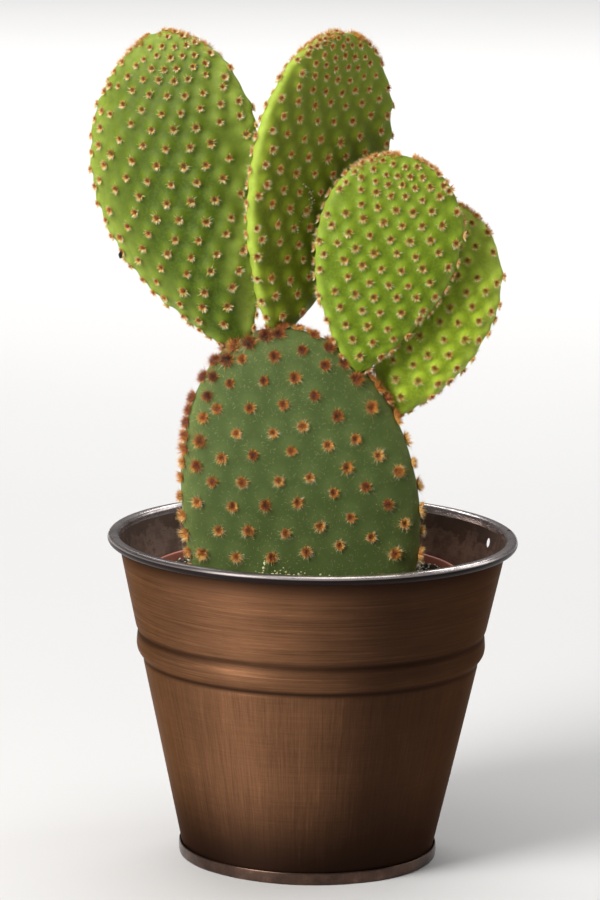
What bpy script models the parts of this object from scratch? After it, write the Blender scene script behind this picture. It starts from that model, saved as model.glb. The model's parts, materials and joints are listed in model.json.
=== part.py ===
"""A bunny-ear prickly pear in a plastic nursery pot, which stands inside a decorative metal bucket.

The script makes one object for each separate piece, in metres with +Z up. The origin is the centre of
the bucket's underside, +X is the plant's right and -Y is its front. The bucket is sheet metal: a
tapered wall with a rolled rim and one rib, and a base pan whose edge is folded up round the wall.
"""

import math
from dataclasses import dataclass, replace

import bmesh
import bpy
from mathutils import Matrix, Vector

MM = 0.001
GAP = 0.3  # between pieces that touch, in millimetres
TURN_STEPS = 48  # facets round every turned piece, the same on all, so that nested facets line up

# Bucket, in millimetres
SHEET = 0.5
RIM_OUTER_R = 65.0
BEAD_R = 1.5
BEAD_START = -150.0  # degrees round the bead from straight out, where the sheet's free edge ends
BUCKET_H = 104.0
WALL_FOOT_R = 39.5  # outer radius of the wall, extended to the ground
WALL_SLOPE = 0.2173  # radius gained for each millimetre of height
FOOT_R = 41.15
FOOT_H = 3.9
RIB_Z = 68.2
RIB_HALF_H = 5.4
RIB_OUT = 0.8
FOLD_EDGE = 0.3  # how far the folded edge of the base is rounded off
SEAM_ANGLE = 10.5  # degrees from +X towards +Y, as is every angle round the bucket
SEAM_W = 5.0
NOTCH_ANGLE = 9.5
NOTCH_W = 1.2
NOTCH_DEEP = 2.1
HOLE_ANGLE = 21.0
HOLE_Z = 97.5
HOLE_D = 3.2

# Nursery pot and what it holds, in millimetres
POT_X = -2.4  # the pot stands a little off the bucket's axis
POT_RIM_R = 50.0
POT_TOP_Z = 91.5
POT_FOOT_R = 35.0
POT_WALL = 1.2
POT_BAND_H = 9.0
POT_BAND_OUT = 1.3
POT_FLOOR = 1.6
POT_EDGE = 0.5  # how far its lip is rounded off
POT_FOOT_EDGE = 1.0
DRAIN_D = 8.0
DRAIN_RING_R = 24.0
DRAINS = 6
SOIL_EDGE_Z = 89.0
SOIL_MOUND = 2.4
SOIL_RINGS = 4  # heights across the mound

# Roots, in millimetres
CROWN_R = 7.5
CROWN_DROP = 1.5  # the crown's centre lies this far under the lowest pad's foot
ROOTS = 6
ROOT_STEPS = 6
ROOT_R = 2.0
ROOT_TIP_R = 0.8
ROOT_START = 2.5
ROOT_REACH = 20.0
ROOT_LOW_Z = 16.0
ROOT_WAVE = 0.35  # radians that a root swings sideways


@dataclass(frozen=True)
class Pad:
    """A flat stem segment, in millimetres and degrees.

    foot is its lowest point. lean tips it towards +X, pitch tips it back towards +Y, and turn swings
    its right edge towards +Y. low_taper and top_taper shape the two ends of the outline: 0.5 is as
    round as an ellipse, more is more pointed. sway bows the middle of its length sideways, and skew
    makes the right side of the foot more pointed than the left.
    """

    foot: tuple
    length: float
    width: float
    thickness: float
    lean: float
    pitch: float
    turn: float
    low_taper: float
    top_taper: float
    sway: float
    skew: float


PADS = {
    "basal_pad": Pad((4.0, 0.0, 56.5), 115.5, 76.5, 18.0, -10.0, 0.0, 0.0, 0.45, 0.48, 1.7, 0.03),
    "left_pad": Pad((-20.0, 0.0, 161.5), 105.0, 55.3, 10.0, -17.8, 2.0, -15.0, 1.0, 0.6, -6.2, 0.17),
    "middle_pad": Pad((-12.6, 3.0, 167.0), 98.0, 54.4, 10.0, 11.7, 0.0, 42.0, 0.79, 0.51, 1.5, 0.0),
    "right_front_pad": Pad((13.3, -3.0, 156.6), 69.8, 44.5, 10.0, 11.2, 3.0, 2.0, 0.86, 0.52, 0.5, 0.06),
    "right_rear_pad": Pad((23.0, 3.5, 141.6), 70.5, 41.0, 9.0, 15.6, 10.0, -6.0, 0.86, 0.47, 2.9, -0.1),
}
PAD_AROUND = 24  # facets round a section
PAD_RINGS = 20  # facets from foot to tip
PAD_SQUARE = 2.3  # superellipse power of a section: 2 is an ellipse, more has flatter faces
PAD_END_POWER = 0.4  # how bluntly the thickness ends at foot and tip: 0.5 is an ellipse

COPPER = (0.30, 0.135, 0.07)
COLOURS = {
    "bucket_wall": (COPPER, 0.36, 1.0),
    "bucket_base": (COPPER, 0.42, 1.0),
    "nursery_pot": ((0.42, 0.13, 0.08), 0.5, 0.0),
    "soil": ((0.045, 0.032, 0.022), 0.95, 0.0),
    "roots": ((0.36, 0.25, 0.15), 0.8, 0.0),
    "basal_pad": ((0.10, 0.17, 0.06), 0.5, 0.0),
    "left_pad": ((0.17, 0.30, 0.05), 0.45, 0.0),
    "middle_pad": ((0.14, 0.26, 0.05), 0.45, 0.0),
    "right_front_pad": ((0.24, 0.38, 0.06), 0.45, 0.0),
    "right_rear_pad": ((0.24, 0.38, 0.06), 0.45, 0.0),
}


def clear_scene():
    for obj in list(bpy.data.objects):
        bpy.data.objects.remove(obj, do_unlink=True)


def new_collection(name):
    collection = bpy.data.collections.new(name)
    bpy.context.scene.collection.children.link(collection)
    return collection


def finish_for(name):
    """The Principled material of one piece."""
    colour, roughness, metallic = COLOURS[name]
    material = bpy.data.materials.new(name + "_finish")
    material.use_nodes = True
    shader = material.node_tree.nodes["Principled BSDF"]
    shader.inputs["Base Color"].default_value = (*colour, 1.0)
    shader.inputs["Roughness"].default_value = roughness
    shader.inputs["Metallic"].default_value = metallic
    return material


def add_object(name, mesh, collection):
    obj = bpy.data.objects.new(name, mesh)
    collection.objects.link(obj)
    if name in COLOURS:
        mesh.materials.append(finish_for(name))
    else:
        obj.hide_render = True
        obj.display_type = "WIRE"
    return obj


def smooth(obj):
    obj.data.shade_smooth()
    obj.data.set_sharp_from_angle(angle=math.radians(40))


def turned(name, profile, collection, centre_x=0.0):
    """A closed body of revolution about the vertical through centre_x.

    profile holds (radius, height) points in millimetres, down the outer side first.
    """
    mesh = bpy.data.meshes.new(name)
    points = [(r * MM, 0.0, z * MM) for r, z in profile]
    on_axis = profile[0][0] == 0.0
    count = len(points)
    edges = [(i, (i + 1) % count) for i in range(count - 1 if on_axis else count)]
    mesh.from_pydata(points, edges, [])
    obj = add_object(name, mesh, collection)
    obj.location.x = centre_x * MM
    screw = obj.modifiers.new("turn", "SCREW")
    screw.axis = "Z"
    screw.angle = math.tau
    screw.steps = TURN_STEPS
    screw.render_steps = TURN_STEPS
    screw.use_merge_vertices = True
    screw.merge_threshold = 0.00001
    screw.use_smooth_shade = True
    return obj


def boolean(obj, other, operation):
    modifier = obj.modifiers.new(f"{operation.lower()}_{other.name}", "BOOLEAN")
    modifier.operation = operation
    modifier.solver = "EXACT"
    modifier.object = other


def arc(centre, radius, start, end, count):
    """count points on an arc of (radius, height) space, angles in degrees from outward to up."""
    angles = [math.radians(start + (end - start) * i / (count - 1)) for i in range(count)]
    return [(centre[0] + radius * math.cos(a), centre[1] + radius * math.sin(a)) for a in angles]


def sheet_outline(path, thickness):
    """The closed outline of a sheet whose middle follows path, from its free end to its foot."""
    left, right = [], []
    for i, point in enumerate(path):
        before = Vector(path[max(i - 1, 0)])
        after = Vector(path[min(i + 1, len(path) - 1)])
        along = (after - before).normalized()
        side = Vector((-along.y, along.x)) * thickness / 2
        left.append(tuple(Vector(point) + side))
        right.append(tuple(Vector(point) - side))
    return left + right[::-1]


def wall_r(z):
    """Outer radius of the bucket's wall at height z, with its rib."""
    rise = 0.0
    if abs(z - RIB_Z) < RIB_HALF_H:
        rise = RIB_OUT * math.cos(math.pi / 2 * (z - RIB_Z) / RIB_HALF_H) ** 2
    return WALL_FOOT_R + WALL_SLOPE * z + rise


def bucket_wall(parts, cutters):
    bead = (RIM_OUTER_R - BEAD_R, BUCKET_H - BEAD_R)
    curl_r = BEAD_R - SHEET / 2
    shoulder = (wall_r(bead[1]) - SHEET / 2 + curl_r, bead[1])
    foot_z = SHEET + GAP
    rib = [RIB_Z + RIB_HALF_H * (1 - i / 2) for i in range(5)]
    path = arc(bead, curl_r, BEAD_START, 90, 8) + arc(shoulder, curl_r, 90, 180, 4)
    path += [(wall_r(z) - SHEET / 2, z) for z in rib + [foot_z]]
    wall = turned("bucket_wall", sheet_outline(path, SHEET)[::-1], parts)
    boolean(wall, seam_lap(cutters), "UNION")
    boolean(wall, rim_notch(cutters), "DIFFERENCE")
    boolean(wall, wall_hole(cutters), "DIFFERENCE")
    return wall


def seam_lap(cutters):
    """The overlap of the sheet's two ends: a second thickness inside the wall, from foot to rim."""
    low, high = FOOT_H + 2 * SHEET, BUCKET_H - 2 * BEAD_R
    half = SEAM_W / 2
    mesh = bpy.data.meshes.new("seam_lap")
    bm = bmesh.new()
    levels = [low, RIB_Z - RIB_HALF_H, RIB_Z, RIB_Z + RIB_HALF_H, high]
    rings = []
    for z in levels:
        outer = wall_r(z) - SHEET / 2
        inner = wall_r(z) - 2 * SHEET
        corners = ((inner, -half), (outer, -half), (outer, half), (inner, half))
        rings.append([bm.verts.new((x * MM, y * MM, z * MM)) for x, y in corners])
    for lower, upper in zip(rings, rings[1:]):
        for i in range(4):
            j = (i + 1) % 4
            bm.faces.new((lower[i], lower[j], upper[j], upper[i]))
    bm.faces.new(rings[0][::-1])
    bm.faces.new(rings[-1])
    bmesh.ops.recalc_face_normals(bm, faces=bm.faces)
    bm.to_mesh(mesh)
    bm.free()
    obj = add_object("seam_lap_helper", mesh, cutters)
    obj.rotation_euler.z = math.radians(SEAM_ANGLE)
    return obj


def rim_notch(cutters):
    """The slot where the two ends of the rolled rim meet."""
    mesh = bpy.data.meshes.new("rim_notch")
    bm = bmesh.new()
    bmesh.ops.create_cube(bm, size=1.0)
    size = (2 * NOTCH_DEEP, NOTCH_W, 3 * BEAD_R)
    bmesh.ops.scale(bm, verts=bm.verts, vec=[s * MM for s in size])
    centre = (RIM_OUTER_R, 0.0, BUCKET_H - BEAD_R)
    bmesh.ops.translate(bm, verts=bm.verts, vec=[c * MM for c in centre])
    bm.to_mesh(mesh)
    bm.free()
    obj = add_object("rim_notch_helper", mesh, cutters)
    obj.rotation_euler.z = math.radians(NOTCH_ANGLE)
    return obj


def wall_hole(cutters):
    """The small punched hole beside the seam."""
    mesh = bpy.data.meshes.new("wall_hole")
    bm = bmesh.new()
    bmesh.ops.create_cone(
        bm,
        cap_ends=True,
        segments=16,
        radius1=HOLE_D / 2 * MM,
        radius2=HOLE_D / 2 * MM,
        depth=12 * SHEET * MM,
    )
    bmesh.ops.rotate(bm, verts=bm.verts, matrix=Matrix.Rotation(math.pi / 2, 3, "Y"))
    bmesh.ops.translate(bm, verts=bm.verts, vec=(wall_r(HOLE_Z) * MM, 0.0, HOLE_Z * MM))
    bm.to_mesh(mesh)
    bm.free()
    obj = add_object("wall_hole_helper", mesh, cutters)
    obj.rotation_euler.z = math.radians(HOLE_ANGLE)
    return obj


def bucket_base(parts):
    """A shallow pan: the disc that the bucket stands on, with its edge folded up round the wall."""
    inner = wall_r(FOOT_H) + GAP
    profile = [
        (0.0, SHEET),
        (inner, SHEET),
        (inner, FOOT_H),
        (FOOT_R - FOLD_EDGE / 2, FOOT_H),
        (FOOT_R, FOOT_H - FOLD_EDGE),
        (FOOT_R, FOLD_EDGE),
        (FOOT_R - FOLD_EDGE, 0.0),
        (0.0, 0.0),
    ]
    return turned("bucket_base", profile, parts)


def pot_r(z):
    """Outer radius of the nursery pot's wall at height z, without the band under its rim."""
    foot_z = SHEET + GAP
    share = (z - foot_z) / (POT_TOP_Z - foot_z)
    return POT_FOOT_R + (POT_RIM_R - POT_BAND_OUT - POT_FOOT_R) * share


def nursery_pot(parts, cutters):
    foot_z = SHEET + GAP
    floor_z = foot_z + POT_FLOOR
    band_z = POT_TOP_Z - POT_BAND_H
    profile = [
        (0.0, floor_z),
        (pot_r(floor_z) - POT_WALL, floor_z),
        (pot_r(band_z) - POT_WALL, band_z),
        (POT_RIM_R - POT_WALL, POT_TOP_Z - POT_EDGE),
        (POT_RIM_R - POT_WALL / 2, POT_TOP_Z),
        (POT_RIM_R, POT_TOP_Z - POT_EDGE),
        (pot_r(band_z) + POT_BAND_OUT, band_z),
        (pot_r(band_z - POT_BAND_OUT), band_z - POT_BAND_OUT),
        (pot_r(floor_z), floor_z),
        (POT_FOOT_R - POT_FOOT_EDGE, foot_z),
        (0.0, foot_z),
    ]
    pot = turned("nursery_pot", profile, parts, POT_X)
    boolean(pot, drain_holes(cutters), "DIFFERENCE")
    return pot


def drain_holes(cutters):
    mesh = bpy.data.meshes.new("drain_holes")
    bm = bmesh.new()
    for i in range(DRAINS):
        angle = math.tau * (i + 0.5) / DRAINS
        made = bmesh.ops.create_cone(
            bm,
            cap_ends=True,
            segments=12,
            radius1=DRAIN_D / 2 * MM,
            radius2=DRAIN_D / 2 * MM,
            depth=3 * POT_FLOOR * MM,
        )
        centre = (
            (POT_X + DRAIN_RING_R * math.cos(angle)) * MM,
            DRAIN_RING_R * math.sin(angle) * MM,
            (SHEET + GAP + POT_FLOOR / 2) * MM,
        )
        bmesh.ops.translate(bm, verts=made["verts"], vec=centre)
    bm.to_mesh(mesh)
    bm.free()
    return add_object("drain_holes_helper", mesh, cutters)


def soil(parts, pad_cutter, root_cutter):
    """The potting mix: a plug that fills the pot, mounded a little round the plant."""
    floor_z = SHEET + GAP + POT_FLOOR + GAP
    band_z = POT_TOP_Z - POT_BAND_H
    side = POT_WALL + GAP
    edge_r = POT_RIM_R - side - POT_EDGE
    profile = []
    for i in range(SOIL_RINGS + 1):
        share = i / SOIL_RINGS
        rise = SOIL_MOUND * math.cos(math.pi / 2 * share) ** 2
        profile.append((edge_r * share, SOIL_EDGE_Z + rise))
    profile += [
        (pot_r(band_z) - side, band_z),
        (pot_r(floor_z) - side, floor_z),
        (0.0, floor_z),
    ]
    plug = turned("soil", profile, parts, POT_X)
    boolean(plug, pad_cutter, "DIFFERENCE")
    boolean(plug, root_cutter, "DIFFERENCE")
    return plug


def pad_point(pad, x, y, z):
    """Where a pad carries the point (x, y, z) of a unit sphere, in millimetres.

    The sphere's poles, at z = -1 and 1, become the foot and the tip, and its circles the sections,
    which are superellipses as wide as the outline is there.
    """
    t = (1 + z) / 2
    low = pad.low_taper + math.copysign(pad.skew, x)
    widest = low / (low + pad.top_taper)
    full = widest**low * (1 - widest) ** pad.top_taper
    half_width = pad.width / 2 * t**low * (1 - t) ** pad.top_taper / full
    half_thickness = pad.thickness / 2 * (4 * t * (1 - t)) ** PAD_END_POWER
    circle = math.hypot(x, y) or 1.0
    across = math.copysign(abs(x / circle) ** (2 / PAD_SQUARE), x) * half_width
    height = math.copysign(abs(y / circle) ** (2 / PAD_SQUARE), y) * half_thickness
    return Vector((across + pad.sway * 4 * t * (1 - t), height, pad.length * t))


def pad_matrix(pad):
    turn = Matrix.Rotation(math.radians(pad.turn), 4, "Z")
    pitch = Matrix.Rotation(math.radians(-pad.pitch), 4, "X")
    lean = Matrix.Rotation(math.radians(pad.lean), 4, "Y")
    return Matrix.Translation(Vector(pad.foot) * MM) @ lean @ pitch @ turn


def grown(pad, margin):
    """The same pad with every side moved out by margin."""
    axis = pad_matrix(pad).to_3x3() @ Vector((0.0, 0.0, 1.0))
    return replace(
        pad,
        foot=tuple(Vector(pad.foot) - axis * margin),
        length=pad.length + 2 * margin,
        width=pad.width + 2 * margin,
        thickness=pad.thickness + 2 * margin,
    )


def pad_object(name, pad, collection):
    mesh = bpy.data.meshes.new(name)
    bm = bmesh.new()
    bmesh.ops.create_uvsphere(bm, u_segments=PAD_AROUND, v_segments=PAD_RINGS, radius=1.0)
    for vert in bm.verts:
        vert.co = pad_point(pad, *vert.co) * MM
    bm.to_mesh(mesh)
    bm.free()
    obj = add_object(name, mesh, collection)
    obj.matrix_world = pad_matrix(pad)
    smooth(obj)
    return obj


def root_tube(name, points, radius, tip_radius, collection):
    """A tapered, round-ended tube through points, as a mesh."""
    curve = bpy.data.curves.new(name, "CURVE")
    curve.dimensions = "3D"
    curve.bevel_depth = MM
    curve.bevel_resolution = 1
    curve.use_fill_caps = True
    spline = curve.splines.new("POLY")
    spline.points.add(len(points) - 1)
    for i, point in enumerate(points):
        spline.points[i].co = (*(Vector(point) * MM), 1.0)
        share = i / (len(points) - 1)
        spline.points[i].radius = radius + (tip_radius - radius) * share
    tube = bpy.data.objects.new(name, curve)
    bpy.context.scene.collection.objects.link(tube)
    graph = bpy.context.evaluated_depsgraph_get()
    mesh = bpy.data.meshes.new_from_object(tube.evaluated_get(graph))
    bpy.data.objects.remove(tube, do_unlink=True)
    bm = bmesh.new()
    bm.from_mesh(mesh)
    bmesh.ops.remove_doubles(bm, verts=bm.verts, dist=0.00001)
    bmesh.ops.recalc_face_normals(bm, faces=bm.faces)
    bm.to_mesh(mesh)
    bm.free()
    return add_object(name, mesh, collection)


def root_route(index, start):
    """A root's own gentle wave, out from the crown and down towards the floor."""
    angle = math.tau * index / ROOTS
    points = []
    for step in range(ROOT_STEPS + 1):
        share = step / ROOT_STEPS
        swing = angle + ROOT_WAVE * math.sin(math.pi * share + index)
        reach = ROOT_START + ROOT_REACH * math.sin(math.pi / 2 * share)
        drop = (start.z - ROOT_LOW_Z) * share**1.4
        points.append(
            (start.x + reach * math.cos(swing), start.y + reach * math.sin(swing), start.z - drop)
        )
    return points


def root_mass(name, margin, collection, cutters):
    """The crown under the plant with its main roots, every side moved out by margin."""
    centre = Vector(PADS["basal_pad"].foot) - Vector((0.0, 0.0, CROWN_DROP))
    mesh = bpy.data.meshes.new(name)
    bm = bmesh.new()
    bmesh.ops.create_icosphere(bm, subdivisions=2, radius=(CROWN_R + margin) * MM)
    bm.to_mesh(mesh)
    bm.free()
    crown = add_object(name, mesh, collection)
    crown.location = centre * MM
    for i in range(ROOTS):
        tube = root_tube(
            f"{name}_tube_{i + 1}_helper",
            root_route(i, centre),
            ROOT_R + margin,
            ROOT_TIP_R + margin,
            cutters,
        )
        boolean(crown, tube, "UNION")
    return crown


def main():
    clear_scene()
    parts = new_collection("potted_paddle_cactus")
    cutters = new_collection("cutters")
    bucket_wall(parts, cutters)
    bucket_base(parts)
    nursery_pot(parts, cutters)
    basal_room = pad_object("basal_room_helper", grown(PADS["basal_pad"], GAP), cutters)
    root_room = root_mass("root_room_helper", GAP, cutters, cutters)
    soil(parts, basal_room, root_room)
    roots = root_mass("roots", 0.0, parts, cutters)
    boolean(roots, basal_room, "DIFFERENCE")
    for name, pad in PADS.items():
        obj = pad_object(name, pad, parts)
        if name != "basal_pad":
            boolean(obj, basal_room, "DIFFERENCE")


main()
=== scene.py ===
"""The looks of a potted bunny-ear cactus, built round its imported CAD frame.

Shapes are worked out in millimetres, in the row frame: +Z up, -Y the plant's front, the origin at the
centre of the bucket's underside. Each pad is one grown skin with low tubercles, and its tufts of
glochids are thousands of separate bristles. The bucket is turned sheet metal with a rolled rim.
"""

import json
import math
from dataclasses import dataclass, replace

import bpy
import numpy as np
from mathutils import Matrix, Vector

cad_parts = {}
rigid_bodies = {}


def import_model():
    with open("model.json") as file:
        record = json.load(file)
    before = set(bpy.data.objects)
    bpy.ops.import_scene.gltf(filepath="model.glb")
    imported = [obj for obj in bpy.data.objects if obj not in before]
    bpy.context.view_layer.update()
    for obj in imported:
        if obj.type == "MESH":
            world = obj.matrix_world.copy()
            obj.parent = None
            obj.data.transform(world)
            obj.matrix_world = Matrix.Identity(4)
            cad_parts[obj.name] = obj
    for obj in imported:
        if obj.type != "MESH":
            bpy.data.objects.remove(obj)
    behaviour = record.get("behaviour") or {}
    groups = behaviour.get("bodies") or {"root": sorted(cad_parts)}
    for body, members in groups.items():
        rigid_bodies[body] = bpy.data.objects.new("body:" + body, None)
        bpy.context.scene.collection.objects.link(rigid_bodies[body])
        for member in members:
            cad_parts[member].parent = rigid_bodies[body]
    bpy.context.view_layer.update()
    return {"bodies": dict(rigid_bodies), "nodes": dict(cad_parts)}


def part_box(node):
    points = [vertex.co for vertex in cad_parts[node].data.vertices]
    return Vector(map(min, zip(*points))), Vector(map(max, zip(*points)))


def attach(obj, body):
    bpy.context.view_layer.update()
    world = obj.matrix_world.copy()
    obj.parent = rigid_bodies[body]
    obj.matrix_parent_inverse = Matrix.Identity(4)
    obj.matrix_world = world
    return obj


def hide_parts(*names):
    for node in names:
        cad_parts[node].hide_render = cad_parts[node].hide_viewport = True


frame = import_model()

MM = 0.001

# Bucket, in millimetres, as the CAD part has it
SHEET = 0.5
RIM_OUTER_R = 65.0
BEAD_R = 1.5
BEAD_START = -150.0
WALL_FOOT_R = 39.5
WALL_SLOPE = 0.2173
FOOT_R = 41.15
FOOT_H = 3.9
RIB_OUT = 1.05
RIB_UPPER = (72.9, 67.7)  # where the rib's upper face starts, and where it reaches the crest
RIB_LOWER = (64.0, 67.3)
GROOVES = ((73.2, 1.0, 0.40), (63.9, 0.8, 0.22))  # height, width and depth, above and below the rib
SEAM_ANGLE = 10.5
SEAM_W = 5.0
NOTCH_ANGLE = 9.5
NOTCH_W = 1.2
HOLE_ANGLE = 21.0
HOLE_Z = 97.5
HOLE_D = 3.2
BUCKET_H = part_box("bucket_wall")[1].z / MM

# Nursery pot and soil
POT_X = (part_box("nursery_pot")[0].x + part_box("nursery_pot")[1].x) / 2 / MM
POT_RIM_R = (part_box("nursery_pot")[1].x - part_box("nursery_pot")[0].x) / 2 / MM
POT_TOP_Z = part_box("nursery_pot")[1].z / MM
POT_FOOT_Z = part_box("nursery_pot")[0].z / MM
POT_FOOT_R = 35.0
POT_WALL = 1.2
POT_BAND_H = 9.0
POT_BAND_OUT = 1.3
POT_FLOOR = 1.6
SOIL_EDGE_Z = 89.0
SOIL_MOUND = 2.4
SOIL_GAP = 0.2

PAD_SQUARE = 2.3  # superellipse power of a pad's section
PAD_END_POWER = 0.4  # how bluntly its thickness ends at foot and tip


@dataclass(frozen=True)
class Pad:
    """A flat stem segment, shaped as in the CAD part, and the lattice of areoles on it.

    across and rows are the spacings of the areoles on the face. slope tilts their rows, smile lifts
    the rows' two ends, and slide moves the whole lattice sideways in millimetres. crowd is how much
    closer they stand at the tip. bump is the height of a tubercle against the spacing. cup is how far
    the middle of the pad bows forwards of its two edges, and pale how far its pale margin spreads:
    a band that is partly paler skin and partly a painted highlight on the rounded edge.
    """

    foot: tuple
    length: float
    width: float
    thickness: float
    lean: float
    low_taper: float
    top_taper: float
    sway: float
    across: float
    rows: float
    smile: float
    crowd: float
    bump: float
    pale: float
    pitch: float = 0.0
    turn: float = 0.0
    skew: float = 0.0
    cup: float = 0.0
    slope: float = 0.0
    slide: float = 0.0


PADS = {
    "basal_pad": Pad(
        foot=(4.0, 0.0, 56.5), length=114.7, width=75.0, thickness=17.6,
        lean=-10.0, low_taper=0.45, top_taper=0.48, sway=1.7, skew=0.03,
        across=10.8, rows=8.0, smile=5.0, crowd=0.1, bump=0.012, pale=0.3,
    ),
    "left_pad": Pad(
        foot=(-20.0, 0.0, 161.5), length=105.0, width=55.3, thickness=10.0,
        lean=-17.8, pitch=2.0, turn=-15.0, low_taper=1.0, top_taper=0.6, sway=-6.2, skew=0.17, cup=5.5,
        across=7.6, rows=5.8, slope=-0.3, smile=6.0, crowd=0.48, bump=0.25, pale=0.5,
    ),
    "middle_pad": Pad(
        foot=(-12.6, 3.0, 167.0), length=98.0, width=54.4, thickness=10.0,
        lean=11.7, turn=42.0, low_taper=0.79, top_taper=0.51, sway=1.5, cup=-3.2,
        across=7.8, rows=5.6, slope=0.1, smile=5.0, slide=1.0, crowd=0.50, bump=0.19, pale=0.2,
    ),
    "right_front_pad": Pad(
        foot=(13.3, -3.0, 156.6), length=69.8, width=44.5, thickness=10.0,
        lean=11.2, pitch=3.0, turn=2.0, low_taper=0.86, top_taper=0.52, sway=0.5, skew=0.06, cup=-1.5,
        across=6.2, rows=4.7, slope=0.1, smile=4.0, crowd=0.42, bump=0.19, pale=0.1,
    ),
    "right_rear_pad": Pad(
        foot=(23.0, 3.5, 141.6), length=70.5, width=41.0, thickness=9.0,
        lean=15.6, pitch=10.0, turn=-6.0, low_taper=0.86, top_taper=0.47, sway=2.9, skew=-0.1,
        across=6.4, rows=5.0, slope=0.1, smile=4.0, crowd=0.40, bump=0.19, pale=0.4,
    ),
}
# Each pad's skin: (valley, face, crest, margin) colours, roughness, pale flecks, bump depth, and how
# much paler it is towards its tip. The valley colour is painted shade between the tubercles and the
# crest colour a painted highlight on their tops; the margin colour is partly paler skin and partly a
# painted highlight on the rounded edges.
SKINS = {
    "basal_pad": (
        ((0.060, 0.092, 0.022), (0.088, 0.128, 0.034), (0.098, 0.135, 0.040), (0.19, 0.245, 0.070)),
        0.6, 0.45, 0.5, 0.0,
    ),
    "left_pad": (
        ((0.034, 0.062, 0.002), (0.080, 0.124, 0.004), (0.150, 0.205, 0.013), (0.41, 0.52, 0.085)),
        0.5, 0.1, 0.3, 0.15,
    ),
    "middle_pad": (
        ((0.105, 0.138, 0.006), (0.222, 0.290, 0.014), (0.27, 0.345, 0.022), (0.40, 0.52, 0.075)),
        0.5, 0.15, 0.3, 0.5,
    ),
    "right_front_pad": (
        ((0.092, 0.146, 0.006), (0.184, 0.283, 0.012), (0.27, 0.37, 0.024), (0.34, 0.455, 0.055)),
        0.5, 0.1, 0.3, 0.3,
    ),
    "right_rear_pad": (
        ((0.150, 0.225, 0.010), (0.355, 0.495, 0.026), (0.49, 0.61, 0.050), (0.58, 0.70, 0.13)),
        0.5, 0.1, 0.3, 0.35,
    ),
}
PAD_AROUND = 300  # facets of a fine pad, round and along
PAD_RINGS = 190
SECTION_SAMPLES = 480
SOIL_RINGS = 90  # rings of points over the soil's top
FLOOR_HALF = 6000.0
TURNED_STEPS = 240  # facets round a turned piece
FRONT, BACK = 0.75, 0.25  # shares of the way round a section, from its right edge over the back


# ---- meshes


def add_mesh(name, points, faces, materials, slots=None, values=None, smooth=True):
    """A piece from points in millimetres and faces of three or four corners."""
    mesh = bpy.data.meshes.new(name)
    mesh.from_pydata((np.asarray(points) * MM).tolist(), [], [list(face) for face in faces])
    for material in materials:
        mesh.materials.append(material)
    if slots is not None:
        mesh.polygons.foreach_set("material_index", np.asarray(slots, np.int32))
    for key, value in (values or {}).items():
        attribute = mesh.attributes.new(key, "FLOAT", "POINT")
        attribute.data.foreach_set("value", np.asarray(value, np.float32))
    if smooth:
        mesh.shade_smooth()
    obj = bpy.data.objects.new(name, mesh)
    bpy.context.scene.collection.objects.link(obj)
    return obj


def ride_root(obj, slot, *nodes):
    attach(obj, "root")
    if nodes:
        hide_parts(*nodes)


def unit(vectors):
    length = np.linalg.norm(vectors, axis=-1, keepdims=True)
    return vectors / np.maximum(length, 1e-9)


def smoothstep(low, high, value):
    share = np.clip((value - low) / (high - low), 0.0, 1.0)
    return share * share * (3 - 2 * share)


def grid_faces(rows, columns):
    """Quads between rings of points, wound so that they face away from the axis they turn round."""
    i, j = np.meshgrid(np.arange(rows - 1), np.arange(columns), indexing="ij")
    a = i * columns + j
    b = i * columns + (j + 1) % columns
    return np.stack([a, b, b + columns, a + columns], -1).reshape(-1, 4)


def cut_out(obj, cutter):
    """Cuts obj for good and removes the cutter."""
    modifier = obj.modifiers.new("cut", "BOOLEAN")
    modifier.operation = "DIFFERENCE"
    modifier.solver = "EXACT"
    modifier.object = cutter
    bpy.context.view_layer.update()
    graph = bpy.context.evaluated_depsgraph_get()
    mesh = bpy.data.meshes.new_from_object(obj.evaluated_get(graph))
    obj.modifiers.clear()
    obj.data = mesh
    bpy.data.objects.remove(cutter, do_unlink=True)


# ---- node helpers


def new_material(name):
    material = bpy.data.materials.new(name)
    material.use_nodes = True
    tree = material.node_tree
    return material, tree, tree.nodes["Principled BSDF"]


def fill(tree, made, inputs):
    """Sets a node's inputs. Each value is a constant, or a socket to link from."""
    for key, value in inputs.items():
        if isinstance(value, bpy.types.NodeSocket):
            tree.links.new(value, made.inputs[key])
        else:
            made.inputs[key].default_value = value


def node(tree, kind, inputs=None, **settings):
    made = tree.nodes.new("ShaderNode" + kind)
    for key, value in settings.items():
        setattr(made, key, value)
    fill(tree, made, inputs or {})
    return made


def calc(tree, operation, *values, clamp=False):
    return node(tree, "Math", dict(enumerate(values)), operation=operation, use_clamp=clamp).outputs[0]


def times(tree, first, second):
    return calc(tree, "MULTIPLY", first, second)


def plus(tree, first, second):
    return calc(tree, "ADD", first, second)


def minus(tree, first, second):
    return calc(tree, "SUBTRACT", first, second)


def weighted(tree, *parts):
    """The sum of sockets, each times its weight."""
    total = 0.0
    for socket, weight in parts:
        total = calc(tree, "MULTIPLY_ADD", socket, weight, total)
    return total


def between(tree, value, low, high, smooth=True):
    """0 at low and 1 at high, where low may be the larger. Sockets 1 to 4 are the two ranges' ends."""
    kind = "SMOOTHSTEP" if smooth else "LINEAR"
    ends = {1: low, 2: high} if low < high else {1: high, 2: low, 3: 1.0, 4: 0.0}
    return node(tree, "MapRange", {0: value, **ends}, interpolation_type=kind).outputs[0]


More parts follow.
